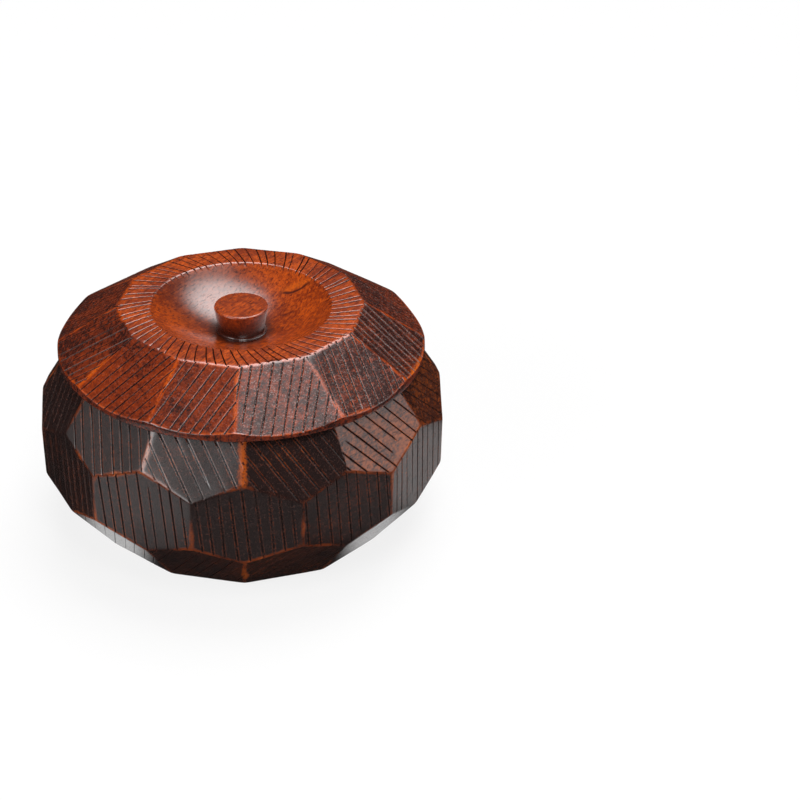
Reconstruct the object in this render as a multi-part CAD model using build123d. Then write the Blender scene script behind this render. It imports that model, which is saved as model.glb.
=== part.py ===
from build123d import *

# Rice tub: a turned wooden vessel with a lift-off lid and a turned knob.
# The outside is planed flat in three rows of facets, which meet as a honeycomb,
# and the lid has one ring of facets round a turned dish. Saw cuts run across the facets.
# Millimetres. The origin is at the middle of the foot, and +Z is up.

import os
from math import atan2, ceil, cos, degrees, floor, hypot, radians, sin, tan

# Facets: how many flat cuts each row has, and the rounding of the ridges between them
side_count = 12
ridge_round = 2.0

# Tub, outside. Each facet is given by its distance from the axis at one height, and its lean
# in degrees from upright, which is above zero where the tub widens upwards.
tub_height = 95.4
belt_facet_r = 103.4  # at belt_height
belt_height = 52.0
belt_lean = 1.8
foot_inset = 27.4  # how far the foot facets stand in from the belt, where the tub stands
foot_lean = 38.7
shoulder_inset = 15.7  # the same for the shoulder facets, at the mouth
shoulder_lean = -33.2

# Tub, inside
belt_wall = 9.0
foot_wall = 8.0
floor_thickness = 11.0
rim_width = 7.2  # at the middle of a facet
mouth_land = 8.5  # straight bore under the rim, which guides the lid
cove_round = 40.0  # floor to foot wall
belly_round = 30.0  # foot wall to belt wall
neck_round = 34.0  # belt wall to shoulder wall
rim_round = 1.2

# Tub, underneath
foot_ring_width = 20.0
foot_recess_depth = 2.0
recess_round = 1.5

# Lid
lid_overhang = 7.7  # past the shoulder facets
lid_height = 25.0  # from its seat to the flat ring
crest_facet_r = 61.9  # inner edge of a lid facet
lid_edge_height = 3.4  # upright edge, at the middle of a facet
lid_edge_round = 1.4
lid_ridge_round = 3.0
lid_brow_round = 0.8  # scalloped edge, between the facets and the upright edge
dish_r = 46.8
dish_depth = 14.8
dish_lip_round = 1.6
spigot_depth = 7.0
spigot_width = 7.5
lid_clearance = 0.5  # between the spigot and the mouth, all round
lid_hollow = 1.0  # above the seat
hollow_round = 5.0
spigot_round = 1.0

# Knob
knob_r = 14.2
knob_height = 14.6
knob_waist_r = 11.8
knob_foot_r = 13.4
knob_foot_height = 0.5
knob_cove = 1.2
knob_top_round = 0.9
knob_seat_margin = 0.6
tenon_r = 5.0
tenon_length = 6.4
tenon_clearance = 0.05
mortise_spare = 0.4

# Saw cuts: the main ones across the lid, the shoulder and the belt, in a V that runs out at both ends.
# Each facet's cuts lean from straight uphill by its own angle in degrees, which is above zero
# where their tops lean right. The tables go round from the front to the right.
cut_width = 1.0
cut_depth = 0.5
cut_run_out = 1.5
cut_margin = 1.5  # left between a cut and the edge of its facet
shortest_cut = 8.0
lid_cut_pitch = 15.0
lid_cut_leans = (9, -32, -38, -20, 12, 8, -10, 20, 24, 12, 30, 36)
tub_cut_pitch = 18.0
shoulder_cut_leans = (-43, -58, -35, -10, 15, -20, -30, 10, 20, 8, 1, -26)
belt_cut_leans = (-5, -6, -4, 3, 5, -5, -4, 6, 4, -3, -4, -5)
ring_cut_count = 24
ring_cut_skew = 20.0  # degrees from the radius, on the flat ring of the lid

# How far a cutter runs past what it cuts, and how near a point on the lid's upright edge has to be
overrun = 20.0
closeness = 0.01

# How much of a straight run the roundings at its two ends may take up together
rounded_share = 0.97

# Worked out from the sizes above
half_side = 180 / side_count
foot_facet_r = belt_facet_r - foot_inset
shoulder_facet_r = belt_facet_r - shoulder_inset
foot_recess_r = foot_facet_r - foot_ring_width
lid_r = shoulder_facet_r + lid_overhang
mouth_r = shoulder_facet_r - rim_width
seat_z = tub_height
ring_z = seat_z + lid_height
knob_z = ring_z - dish_depth
knob_seat_r = knob_foot_r + knob_seat_margin
lid_lean = degrees(atan2(crest_facet_r - lid_r, lid_height - lid_edge_height))


def rounded(points, rounds):
    """A line through the points. Where a run is too short for the rounding at its ends, they give way."""
    runs = [Vector(*end) - Vector(*start) for start, end in zip(points, points[1:])]
    turns = [radians(run.get_angle(following)) for run, following in zip(runs, runs[1:])]
    used = [0] + [size * tan(turn / 2) for size, turn in zip(rounds, turns)] + [0]
    filled = [(used[i] + used[i + 1]) / (run.length * rounded_share) for i, run in enumerate(runs)]
    radii = [size / max(1, filled[i], filled[i + 1]) for i, size in enumerate(rounds)]
    return FilletPolyline(*points, radius=radii)


def turned(outline):
    """A solid of revolution about Z, from a closed outline with X as the radius."""
    return revolve(Plane.XZ * make_face(outline), Axis.Z).solid()


def facet_row(facet_r, height, lean, first_deg):
    """The planes of a row of facets, facet_r from the axis at that height. Their Y axes run uphill."""
    planes = []
    for side in range(side_count):
        turn = radians(first_deg + side * 360 / side_count)
        out = Vector(sin(turn), -cos(turn), 0)
        right = Vector(cos(turn), sin(turn), 0)
        normal = out * cos(radians(lean)) - Vector(0, 0, sin(radians(lean)))
        planes.append(Plane(origin=out * facet_r + Vector(0, 0, height), x_dir=right, z_dir=normal))
    return planes


def planed(solid, planes):
    """The solid with a flat cut at each plane."""
    for plane in planes:
        solid = solid.split(plane, keep=Keep.BOTTOM)
    return solid


def saw_cut(length):
    """The wedge that one cut takes out. It lies along Y, as high above the XY plane as the cut is deep."""
    whole = length + 2 * cut_run_out
    wedge = Wedge(2 * cut_width, 2 * cut_depth, whole, cut_width, 2 * cut_run_out, cut_width, length)
    return Rot(-90, 0, 0) * wedge


def facet_cuts(facet, plane, lean, pitch):
    """The parallel cuts of one facet. They are placed from the plane's origin and stop at the margin."""
    frame = plane * Rot(0, 0, -lean)
    inside = frame.inverse() * offset(facet, amount=-cut_margin)
    box = inside.bounding_box()
    cuts = []
    for place in range(ceil(box.min.X / pitch), floor(box.max.X / pitch) + 1):
        run = Line((place * pitch, box.min.Y), (place * pitch, box.max.Y)) & inside
        if run and run.length > shortest_cut:
            cuts.append(frame * Pos(run.center()) * saw_cut(run.length))
    return cuts


def row_cuts(solid, planes, leans, pitch):
    """The cuts of a row of facets, whose own outlines are still sharp."""
    flats = solid.faces().filter_by(GeomType.PLANE)
    cuts = []
    for plane, lean in zip(planes, leans):
        facet = min(flats, key=lambda flat: (flat.normal_at() - plane.z_dir).length)
        cuts += facet_cuts(facet, plane, lean, pitch)
    return cuts


def reach(point):
    """How far a point is from the axis."""
    return hypot(point.X, point.Y)


def crossing(first, first_lean, second, second_lean):
    """Where two leaning lines of the section cross, each through a (radius, height) point."""
    slope = tan(radians(first_lean))
    other_slope = tan(radians(second_lean))
    rise = (second[0] - first[0] - (second[1] - first[1]) * other_slope) / (slope - other_slope)
    return (first[0] + rise * slope, first[1] + rise)


def blank():
    """A plain turned block, larger than the facets leave."""
    corner_r = belt_facet_r / cos(radians(half_side))
    return Cylinder(corner_r + overrun, tub_height, align=(Align.CENTER, Align.CENTER, Align.MIN)).solid()


def tub_hollow():
    """The inside: a floor, a wall that follows the three rows of facets, and a straight mouth."""
    foot_line = (foot_facet_r - foot_wall / cos(radians(foot_lean)), 0)
    belt_line = (belt_facet_r - belt_wall / cos(radians(belt_lean)), belt_height)
    land_foot = (mouth_r, tub_height - mouth_land)
    floor_corner = (foot_line[0] + floor_thickness * tan(radians(foot_lean)), floor_thickness)
    belly = crossing(foot_line, foot_lean, belt_line, belt_lean)
    neck = crossing(belt_line, belt_lean, land_foot, shoulder_lean)
    corners = [(0, floor_thickness), floor_corner, belly, neck, land_foot]
    wall = rounded(corners, [cove_round, belly_round, neck_round])
    top = tub_height + overrun
    return turned(wall + Polyline(land_foot, (mouth_r, top), (0, top), (0, floor_thickness)))


def foot_recess():
    """The shallow turned hollow underneath, which leaves a ring to stand on."""
    middle = (0, foot_recess_depth)
    side_foot = (foot_recess_r, -overrun)
    roof = rounded([middle, (foot_recess_r, foot_recess_depth), side_foot], [recess_round])
    return turned(roof + Polyline(side_foot, (0, -overrun), middle))


def make_tub():
    """The vessel: the foot and shoulder facets stand half a side round from the belt facets."""
    foot = facet_row(foot_facet_r, 0, foot_lean, half_side)
    belt = facet_row(belt_facet_r, belt_height, belt_lean, 0)
    shoulder = facet_row(shoulder_facet_r, tub_height, shoulder_lean, half_side)
    tub = planed(blank(), foot + belt + shoulder)
    cuts = row_cuts(tub, belt, belt_cut_leans, tub_cut_pitch)
    cuts += row_cuts(tub, shoulder, shoulder_cut_leans, tub_cut_pitch)
    tub = fillet(tub.edges(), ridge_round)
    tub -= foot_recess()
    tub -= tub_hollow()
    mouth_edge = tub.edges().filter_by(GeomType.CIRCLE).group_by(Axis.Z)[-1].sort_by(SortBy.LENGTH)[-1]
    return fillet(mouth_edge, rim_round) - cuts


def lid_blank():
    """The lid as it comes off the lathe: spigot and seat below, a flat ring and a dish on top."""
    spigot_r = mouth_r - lid_clearance
    hollow_r = spigot_r - spigot_width
    spigot_z = seat_z - spigot_depth
    hollow_z = seat_z + lid_hollow
    spigot_foot = [(hollow_r, spigot_z), (spigot_r, spigot_z), (spigot_r, seat_z)]
    underside = rounded(
        [(0, hollow_z), (hollow_r, hollow_z), *spigot_foot], [hollow_round, spigot_round, spigot_round]
    )
    edge = rounded([(spigot_r, seat_z), (lid_r, seat_z), (lid_r, ring_z)], [lid_edge_round])
    centre_rise = (dish_r**2 - knob_seat_r**2 - dish_depth**2) / (2 * dish_depth)
    sphere_r = hypot(dish_r, centre_rise)
    middle_r = (dish_r + knob_seat_r) / 2
    middle_z = ring_z + centre_rise - (sphere_r**2 - middle_r**2) ** 0.5
    ring = Line((lid_r, ring_z), (dish_r, ring_z))
    dish = ThreePointArc((dish_r, ring_z), (middle_r, middle_z), (knob_seat_r, knob_z))
    core = Polyline((knob_seat_r, knob_z), (0, knob_z), (0, hollow_z))
    return turned(underside + edge + ring + dish + core)


def lid_ridges(lid):
    """The straight edges left by planing: the ridges between the facets, and the crest above them."""
    straight = lid.edges().filter_by(GeomType.LINE)
    above_edge = straight.filter_by_position(Axis.Z, seat_z + lid_edge_height, ring_z)
    return [edge for edge in above_edge if dish_r < reach(edge.center()) < lid_r - lid_edge_round]


def lid_brow(lid):
    """The scalloped edge, where the facets meet the upright edge of the lid."""
    band_z = seat_z + (lid_edge_round + lid_edge_height) / 2
    brow = []
    for edge in lid.edges():
        nearest = min(reach(edge @ share) for share in (0, 0.5, 1))
        on_band = nearest > lid_r - closeness and edge.geom_type != GeomType.LINE
        if on_band and (edge @ 0.5).Z > band_z:
            brow.append(edge)
    return brow


def ring_cuts():
    """The short cuts of the flat ring, from the dish to the crest."""
    inner, outer = dish_r + cut_margin, crest_facet_r - cut_margin
    length = (outer - inner) / cos(radians(ring_cut_skew))
    cut = Pos(0, -(inner + outer) / 2, ring_z) * Rot(0, 0, ring_cut_skew) * saw_cut(length)
    return [Rot(0, 0, number * 360 / ring_cut_count) * cut for number in range(ring_cut_count)]


def make_lid():
    """The lid. The seam of the turned block is kept a quarter of a side away from the ridges."""
    facets = facet_row(crest_facet_r, ring_z, lid_lean, half_side)
    lid = planed(Rot(0, 0, half_side / 2) * lid_blank(), facets)
    cuts = row_cuts(lid, facets, lid_cut_leans, lid_cut_pitch) + ring_cuts()
    lid = fillet(lid_ridges(lid), lid_ridge_round)
    lid = fillet(lid_brow(lid), lid_brow_round)
    lip = lid.edges().filter_by(GeomType.CIRCLE).group_by(Axis.Z)[-1]
    lid = fillet(lip, dish_lip_round)
    depth = tenon_length + mortise_spare
    mortise = Cylinder(tenon_r + tenon_clearance, depth, align=(Align.CENTER, Align.CENTER, Align.MAX))
    return lid - Pos(0, 0, knob_z) * mortise - cuts


def make_knob():
    """The knob: a tenon, a flared foot with a cove above it, and a side that opens upwards."""
    top = knob_z + knob_height
    tenon_z = knob_z - tenon_length
    foot_top = knob_z + knob_foot_height
    cove_foot = (knob_foot_r, foot_top)
    tenon = Polyline((0, tenon_z), (tenon_r, tenon_z), (tenon_r, knob_z), (knob_foot_r, knob_z), cove_foot)
    corners = [cove_foot, (knob_waist_r, foot_top), (knob_r, top), (0, top)]
    side = rounded(corners, [knob_cove, knob_top_round])
    return turned(tenon + side + Line((0, top), (0, tenon_z)))


if __name__ == "__main__":
    os.makedirs("parts", exist_ok=True)
    pieces = {"tub": make_tub(), "lid": make_lid(), "knob": make_knob()}
    for node, shape in pieces.items():
        export_step(shape, f"parts/{node}.step")
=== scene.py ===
from itertools import combinations
from math import atan2, ceil, cos, hypot, pi, radians, sin, tan

import bpy
import numpy as np
from mathutils import Matrix, Vector


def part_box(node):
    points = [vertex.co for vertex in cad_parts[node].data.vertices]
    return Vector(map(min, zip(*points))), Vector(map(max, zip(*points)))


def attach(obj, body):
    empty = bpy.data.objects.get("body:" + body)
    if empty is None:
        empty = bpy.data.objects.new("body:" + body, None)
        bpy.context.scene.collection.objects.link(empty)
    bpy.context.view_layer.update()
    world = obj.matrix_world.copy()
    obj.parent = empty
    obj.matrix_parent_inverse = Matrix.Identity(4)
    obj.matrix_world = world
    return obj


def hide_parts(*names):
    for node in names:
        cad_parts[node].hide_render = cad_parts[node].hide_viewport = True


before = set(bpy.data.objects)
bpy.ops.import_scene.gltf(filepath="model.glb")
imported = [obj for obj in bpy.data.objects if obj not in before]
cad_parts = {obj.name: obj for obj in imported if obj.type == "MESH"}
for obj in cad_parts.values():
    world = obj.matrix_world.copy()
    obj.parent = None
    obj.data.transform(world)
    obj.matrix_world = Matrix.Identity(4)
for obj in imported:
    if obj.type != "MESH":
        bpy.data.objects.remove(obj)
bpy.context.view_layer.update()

# A turned and planed rice tub. Metres, as in the frame. Angles go round the axis from the front.
mm = 0.001
up = np.array([0.0, 0.0, 1.0])
side_count = 12
side = 2 * pi / side_count

# Tub. A facet is given by its distance from the axis at one height and its lean from upright
tub_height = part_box("tub")[1].z
shoulder_r = 87.7 * mm
shoulder_lean = radians(-33.2)
belt_r = 103.4 * mm
belt_height = 52 * mm
belt_lean = radians(1.8)
foot_r = 76 * mm
foot_lean = radians(38.7)
mouth_r = 80.5 * mm
mouth_land = 8.5 * mm
rim_round = 1.2 * mm
floor_thickness = 11 * mm
belt_wall = 9 * mm
foot_wall = 8 * mm
wall_rounds = (34 * mm, 30 * mm, 40 * mm)
foot_recess_r = 56 * mm
foot_recess_depth = 2 * mm

# Lid
lid_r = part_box("lid")[1].x
ring_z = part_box("lid")[1].z
crest_r = 61.9 * mm
lid_edge_height = 3.4 * mm
lid_edge_round = 1.4 * mm
dish_r = 46.8 * mm
dish_depth = 14.8 * mm
dish_lip_round = 2.2 * mm
spigot_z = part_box("lid")[0].z
spigot_r = 80 * mm
spigot_width = 7.5 * mm
hollow_z = tub_height + 1 * mm

# Knob
knob_z = ring_z - dish_depth
knob_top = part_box("knob")[1].z
knob_foot_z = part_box("knob")[0].z
knob_r = 14.2 * mm
knob_waist_r = 11.8 * mm
knob_foot_r = 13.4 * mm
knob_seat_r = 14 * mm
tenon_r = 5 * mm

# Ridges: how fast one facet gives way to the next, past the ridge
crispness = 3.5 / mm

# Hand planing: low waves on the facets, and how far each facet is turned, tipped and shifted by chance
waviness = 0.07 * mm
wave_length = 26 * mm
wave_reach = 6 * mm
facet_swing = radians(0.5)
facet_tip = radians(0.45)
facet_shift = 0.25 * mm

# Grid of a facet: its lines along each cut, as shares of half the cut's width, and its points along each
# line, as shares of the line. The grid starts a collar inside the outline
cut_side_shares = (-1.5, -1, -0.55, 0, 0.55, 1, 1.5)
line_shares = np.array([
    0, 0.012, 0.032, 0.065, 0.12, 0.2, 0.32, 0.44, 0.56, 0.68, 0.8, 0.88, 0.935, 0.968, 0.988, 1,
])
collar = 0.4 * mm
closest_lines = 0.03 * mm
shortest_line = 0.02 * mm

# Points on the edges between facets stand at whole steps, and none are further apart than the spacing
edge_step = 0.08 * mm
edge_spacing = 3 * mm

# Other grids, the distance at which two points count as one, and what counts as far from any cut or ridge
turned_sides = 144
knob_sides = 96
closeness = 0.001 * mm
far = 20 * mm

# Saw cuts. They run out at their ends and towards the ridges, where their stain goes a little further.
# Those sawn by eye stray from their place, as a share of the spacing, and in slope. Some of their ends
# stop short of the edge, and all others run past it: both in millimetres
cut_half_width = 0.46 * mm
end_fade = 3 * mm
ridge_fade = 0.9
ridge_stain = 0.12 * mm
eye_shift = 0.14
eye_slope = 0.012
short_share = 0.22
short_by = (3, 10)
past_by = 4

# Saw cuts by facet, going round from the front to the right: lean in degrees from straight uphill,
# above zero where the top leans right
lid_cut_leans = (22, 21, 18, 20, 17, 22, 19, 23, 18, 18, 17, 23)
lid_spacing = 5 * mm
lid_cut_depth = 0.5 * mm
shoulder_cut_leans = (-31, -34, -36, -30, -33, -28, -35, -30, -32, -30, -31, -32)
shoulder_cut_depth = 0.45 * mm
belt_cut_leans = (-5, -6, -4, 3, 5, -5, -4, 6, 4, -3, -4, -5)
belt_cut_depth = 0.42 * mm
foot_cut_leans = (31, 28, 33, 26, 30, 35, 28, 32, 27, 30, 34, 29)
foot_cut_depth = 0.2 * mm
tub_spacing = 6 * mm

# Ring of the lid: short skewed saw cuts from the crest to the dish, two of three of them sawn by eye
ring_cut_count = 72
ring_cut_shift = 0.24
ring_cut_half_width = 0.42 * mm
ring_cut_depth = 0.45 * mm
ring_cut_skew = tan(radians(20))
ring_inner_r = dish_r + 1.6 * mm
ring_outer_r = 60.5 * mm

# Seeds of the random draws
shoulder_seed, belt_seed, foot_seed, lid_seed, ring_seed = 100, 200, 300, 400, 5

# Looks: the turn of the grain about the axis
grain_turn = radians(52)

# How light each facet came out and how much pale wax its cuts hold, which also stands for painted glints in
# the cuts and on the facet, going round from the front to the right
lid_tones = (-0.55, -0.9, -0.95, -0.6, -0.4, -0.4, -0.4, -0.5, -0.6, -0.55, -0.15, -0.35)
lid_waxes_and_glints = (0.75, 0.55, 0.4, 0.4, 0.3, 0.3, 0.3, 0.3, 0.15, 0.1, 0.15, 0.25)
shoulder_tones = (-1.15, 0.5, 0.1, 0.1, -0.2, 0, -0.2, -0.1, -0.3, -0.95, -1.0, -0.9)
belt_tones = (-1.1, -0.75, -0.4, -0.3, -0.4, -0.2, -0.3, -0.4, -0.3, -0.5, -0.95, -1.0)
foot_tones = (-0.4, -0.6, -0.5, -0.5, -0.4, -0.5, -0.5, -0.4, -0.5, -0.6, -0.7, -0.4)
shoulder_waxes_and_glints = (0.35, 0.1, 0.2, 0.3, 0.3, 0.3, 0.3, 0.3, 0.3, 0.3, 0.1, 0.3)
belt_waxes_and_glints = (0.3, 0.2, 0.1, 0.3, 0.3, 0.3, 0.3, 0.3, 0.3, 0.3, 0.2, 0.1)
foot_waxes_and_glints = (0.1,) * side_count

# Soft lights of the studio: their direction, spread in degrees and strength. The base light is everywhere
base_light = 0.02
studio_glows = (
    ((0.15, 0.42, 0.89), 27, 6.5),
    ((0.42, -0.1, 0.9), 24, 1.1),
    ((-0.72, -0.5, 0.42), 20, 4.0),
    ((-0.62, -0.76, 0.18), 18, 2.5),
    ((-0.42, -0.72, 0.55), 22, 0.3),
    ((-0.95, -0.08, 0.34), 26, 0.36),
    ((0.95, -0.08, 0.34), 26, 1.1),
)

# Patches of the floor that show in reflections: x, y and reach in millimetres, and strength
floor_patches = (
    (0, -185, 90, 0.08),
    (128, -134, 70, 0.12),
    (-150, -140, 110, 0.44),
    (165, -10, 90, 0.52),
    (-76, -48, 34, 0.8),
    (76, -48, 34, 0.8),
)

# Camera: where it stands and how it is turned
camera_place = (0, -1.19543, 0.77649)
camera_turn, camera_dip, camera_roll = radians(3.9754), radians(30.8369), radians(0.8939)


def unit(vectors):
    """The vectors at length one."""
    return vectors / np.linalg.norm(vectors, axis=-1, keepdims=True)


def around(turn, r, z):
    """Points at a turn about the axis, counted from the front, at radius r and height z."""
    turn, r, z = np.broadcast_arrays(turn, r, z)
    return np.stack([r * np.sin(turn), -r * np.cos(turn), z], -1)


def turn_of(points):
    """The turn about the axis at which each point lies."""
    return np.arctan2(points[..., 0], -points[..., 1])


def even_turns(count):
    """Turns at even steps all round."""
    return np.arange(count) * 2 * pi / count - pi


def wander(points, wavelength, seed):
    """A smooth value from about -1 to 1: six sine waves that run through the points in random ways."""
    dice = np.random.default_rng(seed)
    waves = unit(dice.normal(size=(6, 3))) * dice.uniform(0.6, 1.6, (6, 1)) * 2 * pi / wavelength
    return np.sin(points @ waves.T + dice.uniform(0, 2 * pi, 6)).sum(-1) / 3


def rounded(corners, rounds, steps=9):
    """A line through (radius, height) corners, with an arc of the given radius at each inner one.
    The arc starts radius times the tangent of half the turn before the corner."""
    corners = np.array(corners, float)
    line = [corners[:1]]
    for before, corner, after, size in zip(corners, corners[1:], corners[2:], rounds):
        into, out = unit(corner - before), unit(after - corner)
        turn = atan2(into[0] * out[1] - into[1] * out[0], into @ out)
        spoke = size * np.sign(turn) * np.array([into[1], -into[0]])
        middle = corner - into * abs(size * tan(turn / 2)) - spoke
        swing = np.linspace(0, turn, steps)[:, None]
        line.append(middle + spoke * np.cos(swing) + np.array([-spoke[1], spoke[0]]) * np.sin(swing))
    return np.concatenate(line + [corners[-1:]])


def filled(line, longest):
    """The line with points added so that none of its runs is longer than that."""
    runs = np.linalg.norm(np.diff(line, axis=0), axis=1)
    counts = np.maximum(1, np.ceil(runs / longest)).astype(int)
    ends = zip(line, line[1:], counts)
    parts = [np.linspace(start, end, count, endpoint=False) for start, end, count in ends]
    return np.concatenate(parts + [line[-1:]])


class Skin:
    """One closed surface, gathered from patches that share their points. Its faces look outwards."""

    def __init__(self):
        self.points, self.owners = np.zeros((0, 3)), np.zeros((0, 2), int)
        self.quads, self.triangles = [], []

    def add(self, points, owners=(-1, -1)):
        """Adds an array of points that lie on up to two planes of a block, and returns their numbers."""
        numbers = len(self.points) + np.arange(points[..., 0].size)
        self.points = np.concatenate([self.points, points.reshape(-1, 3)])
        self.owners = np.concatenate([self.owners, np.broadcast_to(owners, (len(numbers), 2))])
        return numbers.reshape(points.shape[:-1])

    def sheet(self, rows, closed=False, facet=-1):
        """Quads between rows of numbers, which run to the right seen from outside, each above the last.
        A closed sheet joins each row's end to its start."""
        if closed:
            rows = np.concatenate([rows, rows[:, :1]], axis=1)
        low, high = rows[:-1], rows[1:]
        quads = np.stack([low[:, :-1], low[:, 1:], high[:, 1:], high[:, :-1]], -1).reshape(-1, 4)
        self.quads.append((quads, np.full(len(quads), facet)))

    def fan(self, tip, row, facet=-1):
        """Triangles from a closed row to a point above it, seen from outside."""
        triangles = np.stack([row, np.roll(row, -1), np.full(len(row), tip)], -1)
        self.triangles.append((triangles, np.full(len(triangles), facet)))

    def lace(self, outer, outer_turns, inner, inner_turns, facet=-1):
        """Triangles between two closed loops round one middle, given the turns of their points round it,
        which grow counterclockwise seen from outside. Going round both loops by turn, each point
        makes a triangle with the one before it in its loop and the last one passed in the other."""
        outer, inner = outer[np.argsort(outer_turns)], inner[np.argsort(inner_turns)]
        turns = np.concatenate([np.sort(outer_turns), np.sort(inner_turns)])
        is_outer = (np.arange(len(turns)) < len(outer))[np.argsort(turns, kind="stable")]
        o, i = np.cumsum(is_outer) - 1, np.cumsum(~is_outer) - 1
        first = np.stack([outer[o - 1], outer[o], inner[i]], -1)[is_outer]
        second = np.stack([inner[i], inner[i - 1], outer[o]], -1)[~is_outer]
        self.triangles.append((np.concatenate([first, second]), np.full(len(turns), facet)))

    def turned(self, profile, turns, facet=-1):
        """A surface turned about the axis from a profile of (radius, height), with the wood on its left.
        An end on the axis is closed by a fan. Returns its rows."""
        tips = [profile[0, 0] < closeness, profile[-1, 0] < closeness]
        line = profile[int(tips[0]) : len(profile) - int(tips[1])]
        rows = self.add(around(turns, line[:, :1], line[:, 1:]))
        self.sheet(rows, closed=True, facet=facet)
        if tips[0]:
            self.fan(self.add(around(0, *profile[0])[None])[0], rows[0, ::-1], facet)
        if tips[1]:
            self.fan(self.add(around(0, *profile[-1])[None])[0], rows[-1], facet)
        return rows

    def draw_in(self, loop, insets, owner):
        """Closed rows that step in from a loop towards the axis. Returns the last one."""
        r = np.hypot(*self.points[loop, :2].T)
        steps = [np.stack([1 - inset / r, 1 - inset / r, np.ones(len(r))], -1) for inset in insets]
        rows = [loop] + [self.add(self.points[loop] * step, (owner, -1)) for step in steps]
        self.sheet(np.stack(rows), closed=True)
        return rows[-1]


class Flat:
    """A plane that bounds a block: its outward normal, and its distance from the origin."""

    wavy = 0

    def __init__(self, normal, offset):
        self.normal, self.offset = normal, offset

    def cut_depth(self, points):
        """How deep the saw cuts are at the points."""
        return np.zeros(len(points))

    def cut_distance(self, points):
        """How far the points are from the bottom of the nearest cut."""
        return np.full(len(points), far)


class Ring(Flat):
    """The flat ring of the lid, with short saw cuts that run out from the dish, skewed from the radius."""

    def __init__(self):
        super().__init__(up, ring_z)
        dice = np.random.default_rng(ring_seed)
        places = np.arange(ring_cut_count)
        jitter = dice.uniform(-ring_cut_shift, ring_cut_shift, ring_cut_count) * (places % 3 > 0)
        middle_r = (dish_r + crest_r) / 2
        self.cuts = (places + jitter) / ring_cut_count * 2 * pi - self.skewed(0, middle_r)
        self.depths = ring_cut_depth * dice.uniform(0.5, 1.2, ring_cut_count)

    def columns(self):
        """The turns of the grid's columns at the dish: each cut's sides and bottom, and one between."""
        across = self.cuts[:, None] + ring_cut_half_width / dish_r * np.array(cut_side_shares)
        following = np.append(self.cuts[1:], self.cuts[0] + 2 * pi)
        return np.sort(np.concatenate([across.ravel(), (self.cuts + following) / 2]))

    def skewed(self, turns, r):
        """The turns that the columns have reached at radius r."""
        return turns + ring_cut_skew * np.log(np.maximum(r, dish_r) / dish_r)

    def aside(self, points):
        """How far each point is from each cut's bottom."""
        r = np.hypot(points[:, 0], points[:, 1])
        home = turn_of(points) - self.skewed(0, r)
        off = (home[:, None] - self.cuts + pi) % (2 * pi) - pi
        return np.abs(off) * r[:, None]

    def cut_depth(self, points):
        """A V across each cut: its depth less the distance from its bottom over half its width."""
        vee = np.clip(1 - self.aside(points) / ring_cut_half_width, 0, 1)
        return (vee * self.depths).max(1)

    def cut_distance(self, points):
        """How far the points are from the nearest cut."""
        return self.aside(points).min(1)


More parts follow.
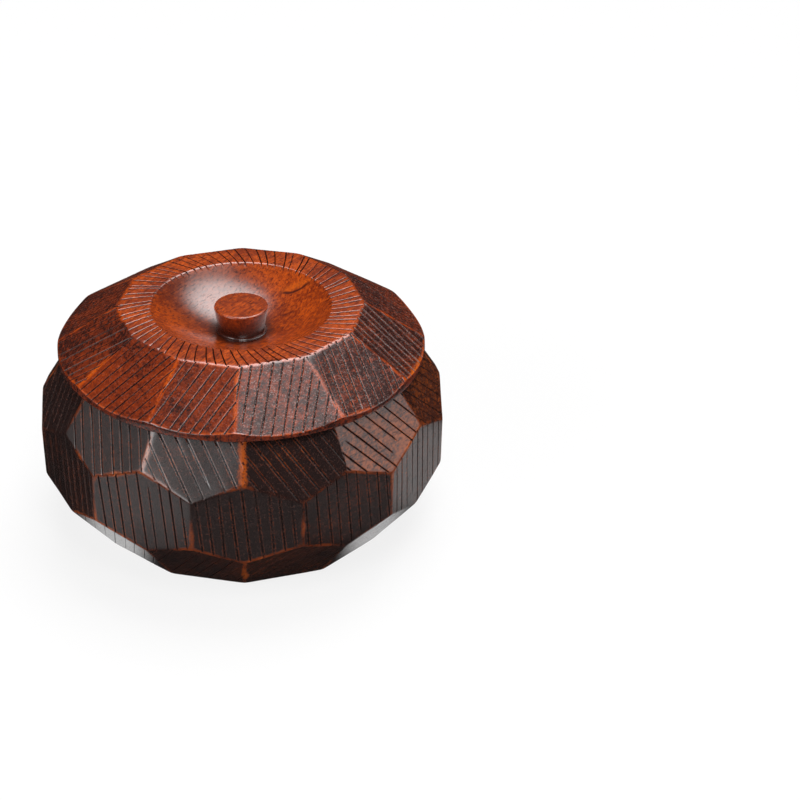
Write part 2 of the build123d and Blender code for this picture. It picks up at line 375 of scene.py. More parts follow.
class Facet(Flat):
    """One facet, planed by hand and sawn across in straight parallel cuts.
    Its own axes are along, the way that the cuts run, and across."""

    wavy = 1

    def __init__(self, turn, r, height, lean, cut_lean, spacing, depth, seed):
        normal = around(turn, cos(lean), -sin(lean))
        self.origin = around(turn, r, height)
        super().__init__(normal, normal @ self.origin)
        self.cut_lean, self.spacing, self.depth, self.seed = cut_lean, spacing, depth, seed

    def settle(self, corners):
        """Lays out the axes and the cuts once the corners are known. A cut's bottom is the line
        across = place + slope * along. Each third cut is a main one, ruled from the facet's origin,
        and those between are sawn by eye: some of them stop short of the edge."""
        self.middle = corners.mean(0)
        uphill = unit(up - self.normal * self.normal[2])
        self.along = uphill * cos(self.cut_lean) + np.cross(uphill, self.normal) * sin(self.cut_lean)
        self.across = np.cross(self.normal, self.along)
        flat = self.flat(corners)
        (starts, low), (ends, high) = flat.min(0), flat.max(0)
        dice = np.random.default_rng(self.seed)
        home = (self.origin - self.middle) @ self.across
        first = ceil((low - home) / self.spacing)
        last = int(np.floor((high - home) / self.spacing))
        numbers = np.arange(first, last + 1)
        by_eye = numbers % 3 > 0
        count = len(numbers)
        self.places = home + (numbers + by_eye * dice.uniform(-eye_shift, eye_shift, count)) * self.spacing
        self.slopes = by_eye * dice.normal(0, eye_slope, count)
        self.widths = cut_half_width * dice.uniform(0.8, 1.2, count)
        self.depths = self.depth * np.where(by_eye, dice.uniform(0.5, 1.1, count), 1.05)
        short = by_eye & (dice.uniform(size=(2, count)) < short_share)
        short = np.where(short, dice.uniform(*short_by, (2, count)), -past_by) * mm
        self.starts, self.ends = starts + short[0], ends - short[1]

    def flat(self, points):
        """The points on the facet's own axes."""
        away = points - self.middle
        return np.stack([away @ self.along, away @ self.across], -1)

    def aside(self, points):
        """How far each point is from each cut's bottom, and how much of the cut is left there as it runs out
        at its ends."""
        along, across = self.flat(points).T[..., None]
        run_out = np.clip(np.minimum(along - self.starts, self.ends - along) / end_fade, 0, 1)
        return np.abs(across - self.places - self.slopes * along), run_out

    def cut_depth(self, points):
        """A V across each cut, whose depth varies a little along it."""
        away, run_out = self.aside(points)
        vee = np.clip(1 - away / self.widths, 0, 1)
        return (vee * run_out * self.depths).max(1) * (1 + 0.25 * wander(points, 11 * mm, self.seed))

    def cut_distance(self, points):
        """How far the points are from the nearest cut. Past a cut's end this counts as 2 mm more."""
        away, run_out = self.aside(points)
        return (away + (1 - run_out) * 2 * mm).min(1)

    def lines(self, corners):
        """Places and slopes of the grid's lines: along the sides and bottoms of the cuts, between them,
        through each corner, and close to the two outermost corners."""
        cuts = self.places[:, None] + self.widths[:, None] * np.array(cut_side_shares)
        between = (self.places[1:] + self.places[:-1]) / 2
        level = corners[:, 1] - np.interp(corners[:, 1], self.places, self.slopes) * corners[:, 0]
        low, high = level.min(), level.max()
        near = np.array([0.05, 0.5, 1.2, 2.4]) * mm
        places = np.sort(np.concatenate([cuts.ravel(), between, level, low + near, high - near]))
        places = places[(places > low + near[0] / 2) & (places < high - near[0] / 2)]
        places = places[np.diff(places, prepend=-1) > closest_lines]
        return places, np.interp(places, self.places, self.slopes)


def clipped(places, slopes, outline, inset=0.0):
    """Where lines enter and leave a counterclockwise outline that is drawn in by an inset,
    and at which of its edges. An edge's outward normal is its own way, turned right."""
    ahead = unit(np.roll(outline, -1, axis=0) - outline)
    normals = np.stack([ahead[:, 1], -ahead[:, 0]], -1)
    rate = normals[:, 0] + normals[:, 1] * slopes[:, None]
    rate = np.where(np.abs(rate) < 1e-9, 1e-9, rate)
    reach = ((normals * outline).sum(-1) - inset - normals[:, 1] * places[:, None]) / rate
    enter = np.where(rate < 0, reach, -np.inf)
    leave = np.where(rate > 0, reach, np.inf)
    return enter.max(1), leave.min(1), enter.argmax(1), leave.argmin(1)


class Block:
    """A block of wood bounded by planes, and by a cylinder where round_r is given. Its ridges are soft:
    the surface is where log(sum(exp(crispness * distance))) over the planes' distances is zero."""

    def __init__(self, planes, round_r=None, round_sides=96):
        self.planes, self.round_r = planes, round_r
        self.normals = np.array([plane.normal for plane in planes])
        self.offsets = np.array([plane.offset for plane in planes])
        normals, offsets = self.normals, self.offsets
        if round_r:
            turns = np.arange(round_sides) * 2 * pi / round_sides
            normals = np.concatenate([normals, around(turns, 1.0, 0.0)])
            offsets = np.concatenate([offsets, np.full(round_sides, round_r)])
        threes = np.array(list(combinations(range(len(normals)), 3)))
        threes = threes[np.abs(np.linalg.det(normals[threes])) > 1e-5]
        points = np.linalg.solve(normals[threes], offsets[threes][..., None])[..., 0]
        kept = (points @ normals.T - offsets < closeness).all(1)
        self.corners, self.meeting = points[kept], threes[kept]

    def outline(self, which):
        """A plane's corners, counterclockwise seen from outside, and the plane past each edge."""
        mine = np.nonzero((self.meeting == which).any(1))[0]
        away = self.corners[mine] - self.corners[mine].mean(0)
        left = np.cross(self.normals[which], away[0])
        mine = mine[np.argsort(np.arctan2(away @ unit(left), away @ unit(away[0])))]
        pairs = zip(self.meeting[mine], self.meeting[np.roll(mine, -1)])
        return mine, [(set(first) & set(second) - {which}).pop() for first, second in pairs]

    def loop(self, which):
        """The numbers of all points round a plane's outline, counterclockwise seen from outside."""
        mine, _ = self.outline(which)
        parts = []
        for first, second in zip(mine, np.roll(mine, -1)):
            between = self.edges[min(first, second), max(first, second)][0]
            parts += [self.corner_numbers[[first]], between if first < second else between[::-1]]
        return np.concatenate(parts)

    def grow(self, skin, shown, marked=None, mark_turns=()):
        """Adds the shown facets to a skin. Each is a grid whose rows follow its cuts, a little inside its
        outline, laced to points on its edges that it shares with the next facet: where the rows of both
        reach the edge, and at even steps. Edges of the marked plane also get points at the mark turns."""
        self.corner_numbers = skin.add(self.corners, self.meeting[:, :2])
        plans, marks = {}, {}
        for which in shown:
            facet = self.planes[which]
            mine, past = self.outline(which)
            facet.settle(self.corners[mine])
            flat = facet.flat(self.corners[mine])
            places, slopes = facet.lines(flat)
            enter, leave, enter_edge, leave_edge = clipped(places, slopes, flat)
            reached = np.concatenate([enter, leave])
            reached = np.stack([reached, np.tile(places, 2) + np.tile(slopes, 2) * reached], -1)
            reached_edge = np.concatenate([enter_edge, leave_edge])
            low, high, _, _ = clipped(places, slopes, flat, collar)
            crosses = high - low > shortest_line
            plans[which] = places[crosses], slopes[crosses], low[crosses], high[crosses]
            for edge, neighbour in enumerate(past):
                pair = mine[edge], mine[(edge + 1) % len(mine)]
                start, way = flat[edge], flat[(edge + 1) % len(flat)] - flat[edge]
                length = hypot(*way)
                shares = [(reached[reached_edge == edge] - start) @ way / length**2]
                shares.append(np.linspace(0, 1, int(length / edge_spacing) + 2))
                if neighbour == marked:
                    shares.append(self.shares_at(*pair, mark_turns))
                shares = np.concatenate(shares)
                if pair[0] > pair[1]:
                    shares = 1 - shares
                steps = np.round(shares * length / edge_step).astype(int)
                steps = steps[(steps > 2) & (steps < int(length / edge_step) - 2)]
                held = marks.get(tuple(sorted(pair)), (np.zeros(0, int), (which, neighbour)))
                marks[tuple(sorted(pair))] = np.union1d(held[0], steps), held[1]
        self.edges = {}
        for (first, second), (steps, owners) in marks.items():
            way = self.corners[second] - self.corners[first]
            points = self.corners[first] + way * (steps * edge_step / np.linalg.norm(way))[:, None]
            self.edges[first, second] = skin.add(points, owners), owners
        for which, (places, slopes, low, high) in plans.items():
            facet = self.planes[which]
            along = low[:, None] + (high - low)[:, None] * line_shares
            across = places[:, None] + slopes[:, None] * along
            points = facet.middle + along[..., None] * facet.along + across[..., None] * facet.across
            grid = skin.add(points, (which, -1))
            skin.sheet(grid, facet=which)
            inner = np.unique(np.concatenate([grid[0], grid[-1], grid[:, 0], grid[:, -1]]))
            loops = [self.loop(which), inner]
            turns = [np.arctan2(*facet.flat(skin.points[loop]).T[::-1]) for loop in loops]
            skin.lace(loops[0], turns[0], loops[1], turns[1], which)

    def shares_at(self, first, second, turns):
        """The shares of an edge at which it passes the given turns about the axis."""
        start, way = self.corners[first], self.corners[second] - self.corners[first]
        out = np.stack([np.cos(turns), np.sin(turns)], -1)
        shares = -(out @ start[:2]) / (out @ way[:2])
        facing = (start + shares[:, None] * way)[:, :2]
        ahead = (facing * np.stack([np.sin(turns), -np.cos(turns)], -1)).sum(-1) > 0
        return shares[ahead & (shares > 0) & (shares < 1)]

    def distances(self, points):
        """How far outside each plane the points are. Hand planing makes the facets a little wavy."""
        away = points @ self.normals.T - self.offsets
        for which, plane in enumerate(self.planes):
            near = np.abs(away[:, which]) < wave_reach
            away[near, which] += plane.wavy * waviness * wander(points[near], wave_length, which)
        if self.round_r:
            away = np.concatenate([away, (np.hypot(*points[:, :2].T) - self.round_r)[:, None]], 1)
        return away

    def soften(self, skin):
        """Moves the points that lie on the block's planes onto its soft surface, by one Newton step,
        and presses the cuts in, which run out towards the ridges. Returns three lengths for each point:
        how deep it is in a cut and its stain, its distance from the nearest cut, and its distance from
        a ridge, which is the difference of its two largest distances over that of their normals."""
        mine = skin.owners[:, 0] >= 0
        points, owners = skin.points[mine], skin.owners[mine]
        away = self.distances(points)
        normals = np.broadcast_to(self.normals, (len(points), *self.normals.shape))
        if self.round_r:
            normals = np.concatenate([normals, unit(points * [1, 1, 0])[:, None]], 1)
        top = away.max(1, keepdims=True)
        pull = np.exp(crispness * (away - top))
        height = top[:, 0] + np.log(pull.sum(1)) / crispness
        pull /= pull.sum(1, keepdims=True)
        slope = (pull[..., None] * normals).sum(1)
        points = points - (height / (slope**2).sum(1))[:, None] * slope
        second, first = np.argsort(away, axis=1)[:, -2:].T
        rank = np.arange(len(points))
        bend = np.linalg.norm(normals[rank, first] - normals[rank, second], axis=1)
        gap = (away[rank, first] - away[rank, second]) / bend
        cuts, aside = np.zeros(len(points)), np.full(len(points), far)
        for which, plane in enumerate(self.planes):
            here = np.nonzero((owners == which).any(1))[0]
            sawn = plane.cut_depth(points[here])
            aside[here] = np.minimum(aside[here], plane.cut_distance(points[here]))
            depth = np.minimum(sawn, ridge_fade * gap[here]) * (owners[here, 1] < 0)
            points[here] -= depth[:, None] * plane.normal
            cuts[here] = np.maximum(cuts[here], np.minimum(sawn, ridge_stain + ridge_fade * gap[here]))
        skin.points[mine] = points
        lengths = np.tile([[0], [far], [far]], len(skin.points))
        lengths[:, mine] = cuts, aside, gap
        return lengths


def planed_row(r, height, lean, first_turn, cut_leans, spacing, cut_depth, seed):
    """A row of facets round the axis, each set a little differently by hand."""
    dice = np.random.default_rng(seed)
    return [
        Facet(first_turn + place * side + facet_swing * dice.normal(), r + facet_shift * dice.normal(),
              height, lean + facet_tip * dice.normal(), radians(cut_lean), spacing, cut_depth, seed + place)
        for place, cut_lean in enumerate(cut_leans)
    ]


def tub_hollow():
    """The profile of the inside, from the rim down to the floor. Its wall follows the rows of facets."""
    foot_line = (foot_r - foot_wall / cos(foot_lean), 0)
    belt_line = (belt_r - belt_wall / cos(belt_lean), belt_height)
    land_foot = (mouth_r, tub_height - mouth_land)
    rise = belt_line[0] - belt_height * tan(belt_lean) - foot_line[0]
    belly_z = rise / (tan(foot_lean) - tan(belt_lean))
    belly = (foot_line[0] + belly_z * tan(foot_lean), belly_z)
    rise = belt_line[0] - land_foot[0] - belt_height * tan(belt_lean) + land_foot[1] * tan(shoulder_lean)
    neck_z = rise / (tan(shoulder_lean) - tan(belt_lean))
    neck = (belt_line[0] + (neck_z - belt_height) * tan(belt_lean), neck_z)
    floor_corner = (foot_line[0] + floor_thickness * tan(foot_lean), floor_thickness)
    start = (mouth_r + 1.4 * rim_round, tub_height)
    corners = [start, (mouth_r, tub_height), land_foot, neck, belly, floor_corner, (0, floor_thickness)]
    return filled(rounded(corners, (rim_round, 2 * mm, *wall_rounds)), 6 * mm)


def tub_skin():
    """The vessel: three rows of facets, the rim, the hollow and the foot."""
    planes = [
        *planed_row(shoulder_r, tub_height, shoulder_lean, side / 2, shoulder_cut_leans, tub_spacing,
                    shoulder_cut_depth, shoulder_seed),
        *planed_row(belt_r, belt_height, belt_lean, 0, belt_cut_leans, tub_spacing,
                    belt_cut_depth, belt_seed),
        *planed_row(foot_r, 0, foot_lean, side / 2, foot_cut_leans, tub_spacing,
                    foot_cut_depth, foot_seed),
    ]
    rim, foot = len(planes), len(planes) + 1
    block = Block(planes + [Flat(up, tub_height), Flat(-up, 0.0)])
    skin = Skin()
    block.grow(skin, range(rim))
    turns = even_turns(turned_sides)
    insets = np.array([0.5, 1.2, 2.5]) * mm
    land = skin.draw_in(block.loop(rim), insets, rim)
    hollow = skin.turned(tub_hollow(), turns)
    skin.lace(land, turn_of(skin.points[land]), hollow[0], turns)
    ring = skin.draw_in(block.loop(foot), insets, foot)
    edge = (foot_recess_r, 0)
    corners = [(0, foot_recess_depth), (foot_recess_r, foot_recess_depth), edge, (foot_recess_r + 3 * mm, 0)]
    recess = skin.turned(filled(rounded(corners, (1 * mm, 0.6 * mm)), 8 * mm), turns)
    skin.lace(ring, -turn_of(skin.points[ring]), recess[-1], -turns)
    return skin, block


def dish_profile():
    """The dish from its lip to the knob's seat: part of a sphere that passes through both."""
    centre_rise = (dish_r**2 - knob_seat_r**2 - dish_depth**2) / (2 * dish_depth)
    r = np.linspace(dish_r, knob_seat_r, 24)
    z = ring_z + centre_rise - np.sqrt(dish_r**2 + centre_rise**2 - r**2)
    wall = np.stack([r, z], -1)
    lip = rounded([(ring_inner_r, ring_z), wall[0], wall[2]], [dish_lip_round])
    return lip[1:-1], filled(np.concatenate([wall[2:], [(0, knob_z)]]), 3 * mm)


def lid_skin():
    """The lid: one row of facets, the ring with its cuts, the dish, the upright edge and the spigot."""
    lean = atan2(crest_r - lid_r, ring_z - tub_height - lid_edge_height)
    planes = planed_row(crest_r, ring_z, lean, side / 2, lid_cut_leans, lid_spacing, lid_cut_depth, lid_seed)
    ring, flat_ring, round_edge = Ring(), len(planes), len(planes) + 1
    block = Block(planes + [ring], round_r=lid_r)
    skin = Skin()
    columns = ring.columns()
    block.grow(skin, range(flat_ring), flat_ring, ring.skewed(columns, crest_r))
    crest = skin.draw_in(block.loop(flat_ring), np.array([0.4, 1.0]) * mm, flat_ring)

    r = np.linspace(ring_outer_r, ring_inner_r, 9)[:, None]
    rows = skin.add(around(ring.skewed(columns, r), r, ring_z), (flat_ring, -1))
    skin.lace(crest, turn_of(skin.points[crest]), rows[0], turn_of(skin.points[rows[0]]))
    lip, wall = dish_profile()
    way = np.gradient(lip, axis=0)
    outward = unit(np.stack([way[:, 1], -way[:, 0]], -1))
    points = around(ring.skewed(columns, lip[:, :1]), lip[:, :1], lip[:, 1:])
    depth = ring.cut_depth(points.reshape(-1, 3)).reshape(points.shape[:2])
    depth = depth * np.clip((lip[:, 1:] - ring_z) / (1.3 * mm) + 1, 0, 1)
    lip_rows = skin.add(points - depth[..., None] * around(turn_of(points), outward[:, :1], outward[:, 1:]))
    skin.sheet(np.concatenate([rows, lip_rows]), closed=True)
    turns = even_turns(turned_sides)
    dish = skin.turned(wall, turns)
    skin.lace(lip_rows[-1], turn_of(skin.points[lip_rows[-1]]), dish[0], turns)

    # The brow is where the facets end on the round edge. Below it, the faces take the tone and the share of
    # wax and painted glints that come after those of the facets
    edge_tone = len(planes)
    on_round = (block.meeting > flat_ring).any(1)
    brow = [numbers for numbers, owners in block.edges.values() if owners[1] > flat_ring]
    brow = np.concatenate([block.corner_numbers[on_round]] + brow)
    brow = brow[np.argsort(turn_of(skin.points[brow]))]
    edge_foot = tub_height + lid_edge_round + 0.2 * mm
    rises = (skin.points[brow, 2:] - edge_foot) * up
    band = [skin.add(skin.points[brow] - share * rises, (round_edge, -1)) for share in (0.6, 0.2)] + [brow]
    skin.sheet(np.stack(band), closed=True, facet=edge_tone)
    hollow_r = spigot_r - spigot_width
    corners = [(0, hollow_z), (hollow_r, hollow_z), (hollow_r, spigot_z), (spigot_r, spigot_z),
               (spigot_r, tub_height), (lid_r, tub_height), (lid_r, edge_foot)]
    rounds = np.array([5, 1, 1, 0.3, lid_edge_round / mm]) * mm
    under = skin.turned(filled(rounded(corners, rounds), 6 * mm), turns, edge_tone)
    skin.lace(under[-1], turns, band[0], turn_of(skin.points[band[0]]), edge_tone)
    return skin, block, lip_rows, depth


def knob_skin():
    """The knob: tenon, foot, a cove and a side that opens upwards to a rounded top."""
    foot_top = knob_z + 0.5 * mm
    corners = [(0, knob_foot_z), (tenon_r, knob_foot_z), (tenon_r, knob_z), (knob_foot_r, knob_z),
               (knob_foot_r, foot_top), (knob_waist_r, foot_top), (knob_r, knob_top), (0, knob_top)]
    rounds = np.array([0.4, 0.1, 0.15, 0.15, 1.2, 0.9]) * mm
    skin = Skin()
    skin.turned(filled(rounded(corners, rounds), 1.5 * mm), even_turns(knob_sides))
    return skin


def make_object(name, data):
    """A new object in the scene."""
    made = bpy.data.objects.new(name, data)
    bpy.context.scene.collection.objects.link(made)
    return made


def make_piece(name, body, skin, planes=(), lengths=None, tones=(0,), waxes_and_glints=(0,)):
    """A mesh object from a skin, which rides on a body and replaces the node of its name. Its points know
    their depth in a cut and their distances from a cut and from a ridge in millimetres, its faces the tone
    of their facet and its share of pale wax, which also stands for painted glints, or the last ones where
    they were turned. Its UV map is the facets' own axes."""
    count = len(skin.points)
    if lengths is None:
        lengths = np.tile([[0], [far], [far]], count)
    quads = np.concatenate([quads for quads, _ in skin.quads])
    triangles = np.concatenate([triangles for triangles, _ in skin.triangles])
    facets = np.concatenate([facets for _, facets in skin.quads + skin.triangles])
    corners = np.concatenate([quads.ravel(), triangles.ravel()])
    sizes = np.repeat([4, 3], [len(quads), len(triangles)])
    mesh = bpy.data.meshes.new(name)
    mesh.vertices.add(count)
    mesh.vertices.foreach_set("co", skin.points.ravel())
    mesh.loops.add(len(corners))
    mesh.loops.foreach_set("vertex_index", corners)
    mesh.polygons.add(len(sizes))
    mesh.polygons.foreach_set("loop_start", np.cumsum(sizes) - sizes)
    corner_facets = np.repeat(facets, sizes)
    flat = skin.points[corners][:, :2].copy()
    for which, plane in enumerate(planes):
        if plane.wavy:
            flat[corner_facets == which] = plane.flat(skin.points[corners[corner_facets == which]])
    mesh.uv_layers.new(name="facet_axes").data.foreach_set("uv", flat.ravel())
    values = {
        "cut": ("POINT", lengths[0] / mm),
        "aside": ("POINT", lengths[1] / mm),
        "ridge": ("POINT", lengths[2] / mm),
        "planed": ("FACE", (facets >= 0).astype(float)),
        "tone": ("FACE", np.array(tones, float)[facets]),
        "wax_and_glint": ("FACE", np.array(waxes_and_glints, float)[facets]),
    }
    for label, (domain, numbers) in values.items():
        mesh.attributes.new(label, "FLOAT", domain).data.foreach_set("value", numbers)
    mesh.update(calc_edges=True)
    mesh.shade_smooth()
    piece = make_object(name, mesh)
    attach(piece, body)
    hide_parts(name)
    return piece


class Value:
    """A number that varies over a surface: a socket, on which Python's operators add Math nodes."""

    def __init__(self, finish, socket):
        self.finish, self.socket = finish, socket

    def __add__(self, other):
        return self.finish.maths("ADD", self, other)

    def __sub__(self, other):
        return self.finish.maths("SUBTRACT", self, other)

    def __rsub__(self, other):
        return self.finish.maths("SUBTRACT", other, self)

    def __mul__(self, other):
        return self.finish.maths("MULTIPLY", self, other)

    def __truediv__(self, other):
        return self.finish.maths("DIVIDE", self, other)

    __radd__, __rmul__ = __add__, __mul__


class Finish:
    """A material, or the world, while its nodes are laid out."""

    def __init__(self, owner):
        owner.use_nodes = True
        self.owner, self.nodes, self.links = owner, owner.node_tree.nodes, owner.node_tree.links
        self.nodes.clear()

    def node(self, kind, settings={}, sockets={}, out=0):
        """Adds a node: its type, its settings, then the value or link of each socket. Gives one output."""
        node = self.nodes.new("ShaderNode" + kind)
        for setting, value in settings.items():
            setattr(node, setting, value)
        for socket, value in sockets.items():
            if isinstance(value, Value):
                self.links.new(value.socket, node.inputs[socket])
            else:
                node.inputs[socket].default_value = value
        return Value(self, node.outputs[out])

    def maths(self, operation, *values):
        """A Math node."""
        return self.node("Math", {"operation": operation}, dict(enumerate(values)))

    def step(self, value, low, high):
        """A smooth step from 0 at low to 1 at high."""
        sockets = {"Value": value, "From Min": low, "From Max": high}
        return self.node("MapRange", {"interpolation_type": "SMOOTHSTEP"}, sockets)

    def mix(self, share, colour, other):
        """A colour between two."""
        return self.node("Mix", {"data_type": "RGBA"}, {0: share, 6: colour, 7: other}, 2)

    def stretched(self, place, scales):
        """A place with its axes scaled."""
        return self.node("VectorMath", {"operation": "MULTIPLY"}, {0: place, 1: scales})

    def measure(self, operation, first, second=(0, 0, 0)):
        """A number from vectors: a length, a distance or a dot product."""
        return self.node("VectorMath", {"operation": operation}, {0: first, 1: second}, "Value")

    def axis(self, place, number):
        """One coordinate of a place."""
        return self.node("SeparateXYZ", {}, {0: place}, number)

    def noise(self, place, scale, detail=2.0, rough=0.5, warp=0.0):
        """Smooth noise from 0 to 1."""
        sockets = {"Vector": place, "Scale": scale, "Detail": detail, "Roughness": rough, "Distortion": warp}
        return self.node("TexNoise", {}, sockets)

    def attribute(self, name):
        """A number that the mesh carries."""
        return self.node("Attribute", {"attribute_name": name}, {}, "Fac")

    def close(self, kind, shader):
        """Ends the nodes with an output, and gives the finished material or world."""
        end = self.nodes.new("ShaderNodeOutput" + kind)
        self.links.new(shader.socket, end.inputs["Surface"])
        return self.owner


def colour(red, green, blue):
    """A colour from its 0 to 255 screen values."""
    shares = np.array([red, green, blue]) / 255
    linear = np.where(shares < 0.04045, shares / 12.92, ((shares + 0.055) / 1.055) ** 2.4)
    return (*linear, 1.0)


def wiped(finish, level, dark, middle, bright):
    """Three stains, by how much was wiped off: dark at 0, middle at one half, bright at 1."""
    dull = finish.mix(finish.step(level, 0, 0.5), dark, middle)
    return finish.mix(finish.step(level, 0.5, 1), dull, bright)


def lacquer(name, stains, rubbed, groove, coat, ripple=0.0, mark=None):
    """Wiped lacquer over open-pored wood. Each facet has its tone, which noise makes uneven. The ridges are
    rubbed through in bands of uneven width, and so are the edges of the cuts, most on dark facets. The cuts
    hold dark stain with pale specks, partly wax and partly painted glints, and facets with much wax have
    pale dust between the cuts, again partly painted glints, and deeper tool marks there too. Where the wax
    value is below 0, the ridges are left whole."""
    finish = Finish(bpy.data.materials.new(name))
    place = finish.node("TexCoord", {}, {}, "Object")
    axes = finish.node("UVMap", {"uv_map": "facet_axes"})
    cut, aside, ridge = finish.attribute("cut"), finish.attribute("aside"), finish.attribute("ridge")
    planed, tone, wax_and_glint = finish.attribute("planed"), finish.attribute("tone"), finish.attribute("wax_and_glint")

    turned = {"Vector": place, "Angle": -grain_turn}
    grain_way = finish.node("VectorRotate", {"rotation_type": "Z_AXIS"}, turned)
    clouds = finish.noise(place, 38, 3, 0.55)
    mottle = finish.noise(place, 420, 4, 0.7)
    fine = finish.noise(place, 1300, 2, 0.6)
    streaks = finish.noise(finish.stretched(grain_way, (70, 800, 800)), 1, 3, 0.6)
    pores = finish.step(finish.noise(finish.stretched(grain_way, (300, 1300, 1300)), 1, 2), 0.55, 0.66)
    waves = finish.noise(finish.stretched(axes, (620, 170, 1)), 1, 3, 0.6, 0.6)

    level = 0.5 + 0.5 * tone + 0.8 * (clouds - 0.5) + 1.1 * (mottle - 0.5) + 0.8 * (streaks - 0.5)
    wood = wiped(finish, level + 0.7 * planed * (waves - 0.5), *stains)
    band = (ridge - 0.2) / (0.3 + 4 * clouds * clouds) + 1.4 * (mottle - 0.5)
    worn = finish.step(band, 1, 0.1) * finish.step(clouds + 0.12 * tone, 0.15, 0.5)
    worn = worn * finish.step(wax_and_glint, -0.9, -0.1)
    rims = finish.step(aside, 0.4, 0.6) * finish.step(aside, 1.3, 0.7) * finish.step(streaks, 0.3, 0.6)
    rub = wiped(finish, 0.42 + 2.2 * (clouds - 0.5) + 1.1 * (mottle - 0.5), *rubbed)
    wood = finish.mix(finish.maths("MAXIMUM", worn, (0.25 - 0.25 * tone) * rims), wood, rub)
    wood = finish.mix(0.65 * pores, wood, stains[0])
    # Pale dust on the wave crests of waxed facets: partly wax, partly painted glints.
    wood = finish.mix(0.55 * wax_and_glint * finish.step(fine + 0.4 * (waves - 0.5), 0.56, 0.68), wood, groove[1])
    sawn = finish.step(cut, 0.03, 0.16)
    # Pale specks in the cuts: partly wax, partly painted glints.
    wax_and_glint_specks = wax_and_glint * finish.step(fine, 0.52, 0.64)
    wood = finish.mix(sawn, wood, finish.mix(wax_and_glint_specks, groove[0], groove[1]))
    if mark:
        wood = mark(finish, place, wood, stains[0])

    height = ripple * planed * (0.5 + wax_and_glint) * waves * (1 - worn) + 0.04 * mottle - 0.07 * pores
    bump = finish.node("Bump", {}, {"Strength": 1.0, "Distance": mm, "Height": height})
    gloss = coat * (1 - 0.95 * (1 - wax_and_glint) * sawn) * (1 - 0.35 * pores)
    shader = finish.node("BsdfPrincipled", {}, {
        "Base Color": wood, "Roughness": 0.42 + 0.2 * mottle, "Specular IOR Level": 0.05, "Normal": bump,
        "Coat Weight": gloss, "Coat Roughness": 0.2, "Coat IOR": 1.9,
    })
    return finish.close("Material", shader)


def dish_marks(finish, place, wood, dark):
    """A knot's crescent at the back right of the dish with an orange blotch behind it, the dish darker at
    the back left, and painted shade and reflection of the knob in a dark ring round its foot."""
    away = finish.measure("DISTANCE", finish.stretched(place, (1, 2.6, 0)), (29 * mm, 2.6 * 27 * mm, 0))
    back = finish.axis(place, 1)
    blotch = finish.step(away, 11 * mm, 2 * mm) * finish.step(back, 24.5 * mm, 28 * mm)
    curve = finish.step(finish.maths("ABSOLUTE", away - 6 * mm), 2.4 * mm, 0.4 * mm)
    curve = curve * finish.step(back, 27.5 * mm, 26 * mm)
    out = finish.measure("LENGTH", finish.stretched(place, (1, 1, 0)))
    # Painted shade and reflection of the knob: a dark ring round its foot.
    painted_foot_shade = finish.step(out, 19 * mm, 13.8 * mm)
    left = finish.measure("DISTANCE", place, (-16 * mm, 22 * mm, ring_z))
    back_left_dark = finish.step(left, 40 * mm, 14 * mm) * finish.step(out, 49 * mm, 44 * mm)
    wood = finish.mix(0.6 * back_left_dark, wood, dark)
    return finish.mix(0.85 * curve + 0.75 * painted_foot_shade, finish.mix(0.5 * blotch, wood, red_rubs[2]), dark)


def front_wear(finish, place, wood, dark):
    """The ridge at the front of the shoulder, where a hand steadies the tub: worn through in a broad, ragged
    band with dark specks left in it."""
    ragged = finish.noise(place, 420, 5, 0.8)
    across, out, height = (finish.axis(place, number) for number in range(3))
    side_gap = finish.maths("ABSOLUTE", across + 0.8 * mm) + 6 * mm * (0.5 - ragged)
    band = finish.step(side_gap, 2.8 * mm, 0.8 * mm) * finish.step(out, -78 * mm, -84 * mm)
    band = band * finish.step(height, 73 * mm, 77 * mm)
    bare = finish.mix(finish.step(finish.noise(place, 700, 3, 0.7), 0.52, 0.66), colour(196, 88, 12), dark)
    return finish.mix(0.85 * band, wood, bare)


def knob_shade(finish, place, wood, dark):
    """Painted shade on the knob: its side darker than its top, and darker still down towards its foot in the
    dish.
    """
    height = finish.axis(place, 2)
    side_share = finish.step(height, knob_top - 0.4 * mm, knob_top - 1.4 * mm)
    low_share = finish.step(height, knob_top - 1 * mm, knob_z + 3 * mm)
    return finish.mix(0.45 * side_share + 0.5 * low_share, wood, dark)


def glow(finish, way, middle, spread, strength):
    """A soft round light in the studio, at one direction: its strength fades with the angle from it."""
    toward = tuple(unit(np.array(middle, float)))
    facing = finish.measure("DOT_PRODUCT", way, toward)
    return strength * finish.step(facing, cos(radians(spread)), cos(radians(spread * 0.45)))


def studio():
    """The world: a nearly dark room with soft lights round the object, white where the camera sees it."""
    finish = Finish(bpy.data.worlds.new("studio"))
    direction = finish.node("TexCoord", {}, {}, "Generated")
    way = finish.node("VectorMath", {"operation": "NORMALIZE"}, {0: direction})
    light = sum((glow(finish, way, *each) for each in studio_glows), base_light)
    seen = finish.node("LightPath", {}, {}, "Is Camera Ray")
    light = seen + (1 - seen) * light
    return finish.close("World", finish.node("Background", {}, {"Strength": light}))


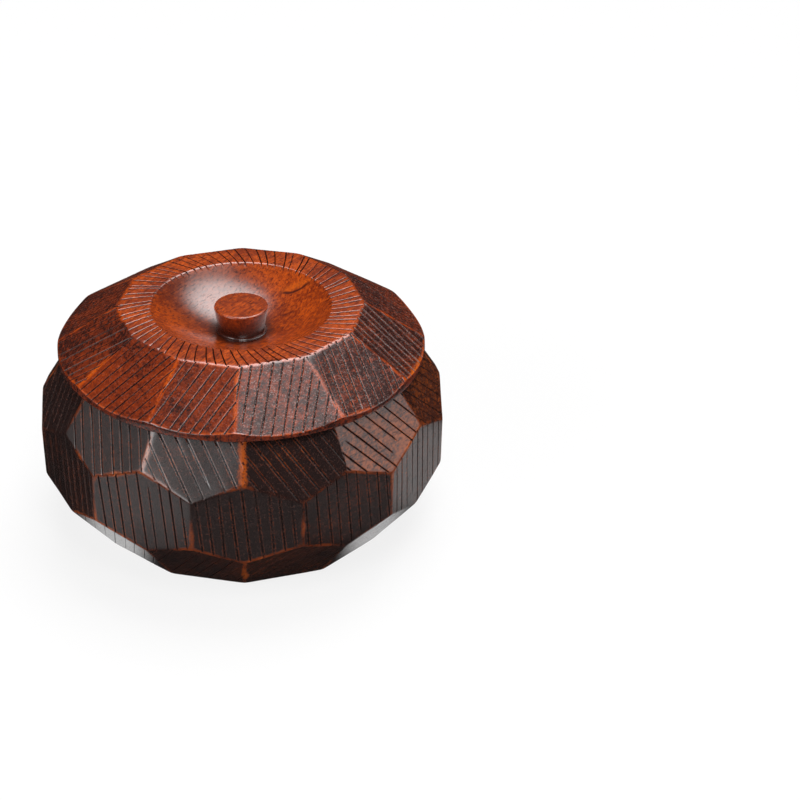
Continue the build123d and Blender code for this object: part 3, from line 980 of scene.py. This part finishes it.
def floor_finish():
    """White where the camera sees it, but for the object's shadow, and dark with grey patches in
    reflections."""
    finish = Finish(bpy.data.materials.new("floor"))
    place = finish.node("TexCoord", {}, {}, "Object")

    def patch(x, y, reach, strength):
        away = finish.measure("DISTANCE", place, (x * mm, y * mm, 0))
        return strength * finish.step(away, reach * mm, reach * 0.3 * mm)

    glossy = sum((patch(*each) for each in floor_patches), base_light)
    camera_ray = finish.node("LightPath", {}, {}, "Is Camera Ray")
    glossy_ray = finish.node("LightPath", {}, {}, "Is Glossy Ray")
    plain = finish.node("BsdfDiffuse", {}, {"Color": (0.85, 0.85, 0.85, 1)})
    white = finish.node("Emission", {}, {"Strength": 1.05})
    patchy = finish.node("Emission", {}, {"Strength": glossy})
    shader = finish.node("MixShader", {}, {0: 0.8 * camera_ray, 1: plain, 2: white})
    shader = finish.node("MixShader", {}, {0: glossy_ray, 1: shader, 2: patchy})
    return finish.close("Material", shader)


# Pieces. The last tone and share of wax and painted glints are those of the turned faces
tub_surface, tub_block = tub_skin()
lengths = tub_block.soften(tub_surface)
tones = shoulder_tones + belt_tones + foot_tones + (-0.1,)
waxes_and_glints = shoulder_waxes_and_glints + belt_waxes_and_glints + foot_waxes_and_glints + (0,)
tub = make_piece("tub", "tub", tub_surface, tub_block.planes, lengths, tones, waxes_and_glints)

lid_surface, lid_block, lip_rows, lip_depth = lid_skin()
lengths = lid_block.soften(lid_surface)
lengths[0, lip_rows] = lip_depth
lengths[1, lip_rows.ravel()] = lid_block.planes[-1].cut_distance(lid_surface.points[lip_rows.ravel()])
tones, waxes_and_glints = lid_tones + (-0.55, 0.45), lid_waxes_and_glints + (-1, 0)
lid = make_piece("lid", "lid", lid_surface, lid_block.planes, lengths, tones, waxes_and_glints)
knob = make_piece("knob", "lid", knob_skin(), tones=(0.35,), waxes_and_glints=(0,))

# Lacquers: dark, middle and bright stain, the wood where it is rubbed, and the dark stain in the cuts with
# their pale colour, which is partly wax and partly painted glints
brown_stains = (colour(38, 22, 20), colour(76, 32, 16), colour(158, 74, 20))
brown_rubs = (colour(58, 27, 14), colour(132, 54, 8), colour(206, 96, 8))
red_stains = (colour(56, 24, 18), colour(140, 50, 14), colour(212, 88, 18))
red_rubs = (colour(132, 46, 12), colour(198, 78, 12), colour(230, 108, 24))
tub_groove = (colour(20, 12, 11), colour(130, 92, 84))
lid_groove = (colour(24, 11, 10), colour(186, 164, 158))
knob_groove = (red_stains[0], red_stains[0])
tub_finish = lacquer("tub_lacquer", brown_stains, brown_rubs, tub_groove, 1.0, 0.04, front_wear)
lid_finish = lacquer("lid_lacquer", red_stains, red_rubs, lid_groove, 0.9, 0.14, dish_marks)
knob_finish = lacquer("knob_lacquer", red_stains, red_rubs, knob_groove, 0.9, mark=knob_shade)
for piece, finish in ((tub, tub_finish), (lid, lid_finish), (knob, knob_finish)):
    piece.data.materials.append(finish)

# Camera
scene = bpy.context.scene
camera_data = bpy.data.cameras.new("camera")
camera_data.lens = 118.454
camera_data.sensor_width = 36
camera_data.clip_start = 0.05
camera = make_object("camera", camera_data)
aim = Matrix.Rotation(-camera_turn, 4, "Z") @ Matrix.Rotation(pi / 2 - camera_dip, 4, "X")
camera.matrix_world = Matrix.Translation(camera_place) @ aim @ Matrix.Rotation(camera_roll, 4, "Z")
scene.camera = camera

# Floor, key light and studio
floor_mesh = bpy.data.meshes.new("floor")
floor_mesh.from_pydata([(-4, -4, 0), (4, -4, 0), (4, 4, 0), (-4, 4, 0)], [], [(0, 1, 2, 3)])
floor_mesh.materials.append(floor_finish())
floor = make_object("floor", floor_mesh)

key_data = bpy.data.lights.new("key", "AREA")
key_data.size, key_data.energy = 0.5, 5
key = make_object("key", key_data)
key.location = (0.1, -0.75, 1.25)
key.rotation_euler = (Vector((0, 0, 80 * mm)) - key.location).to_track_quat("-Z", "Y").to_euler()
scene.world = studio()
scene.view_settings.view_transform = "Standard"
